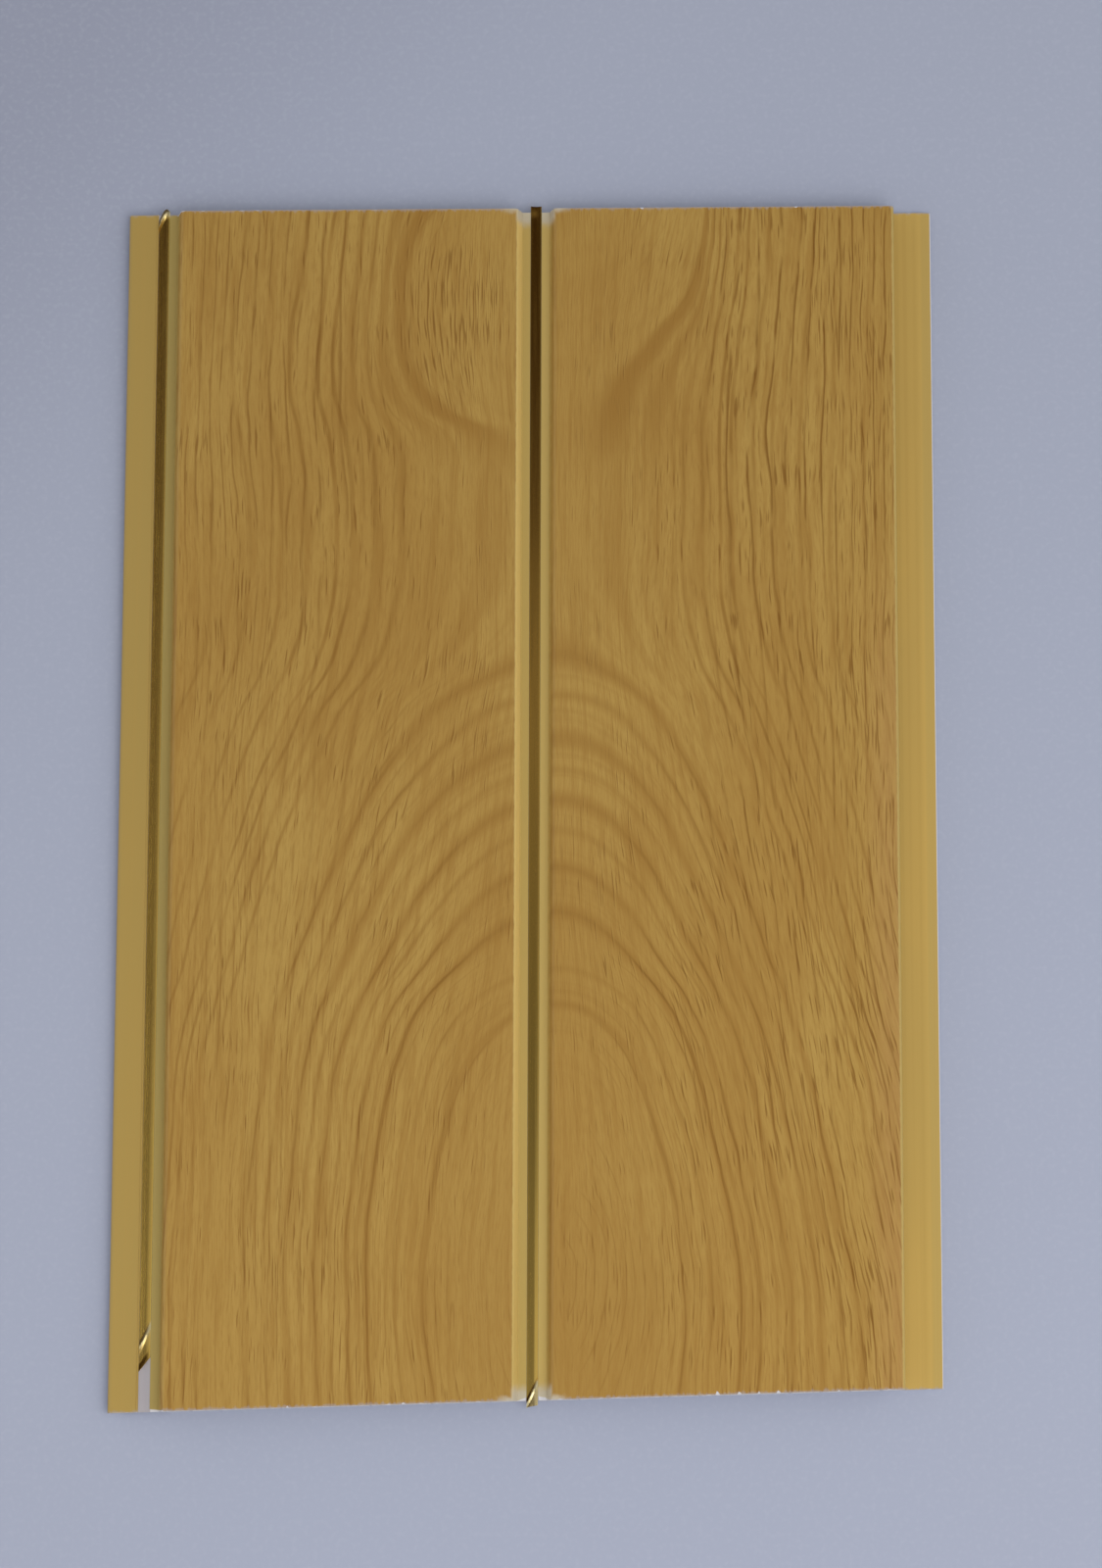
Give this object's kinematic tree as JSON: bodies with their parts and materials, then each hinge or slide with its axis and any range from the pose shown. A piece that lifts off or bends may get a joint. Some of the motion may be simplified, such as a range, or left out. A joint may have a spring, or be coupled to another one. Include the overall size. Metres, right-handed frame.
{
  "type": "pvc ceiling panel",
  "caption": "Hollow PVC ceiling panel, a short cut length: raised wood-grain boards with gold-lined grooves, a tongue along one edge and a nailing flange along the other.",
  "frame": {"origin": "middle of the back, on the surface that the panel lies on: the centre of the bounding box's base", "axes": "+X across the panel, from the tongue to the nailing flange; +Y along the panel, towards the squarely cut end; +Z through its thickness, out of the decorated face"},
  "size_m": [0.215, 0.3208, 0.008],
  "materials": {
    "film": "PVC with a printed golden-oak film on the boards and a plain dull yellow film on tongue, ledges and flange; satin",
    "gold_foil": "thin strip with a polished gold foil"
  },
  "bodies": {
    "root": {"panel": "film", "gold_strip_left": "gold_foil", "gold_strip_middle": "gold_foil"}
  },
  "joints": []
}
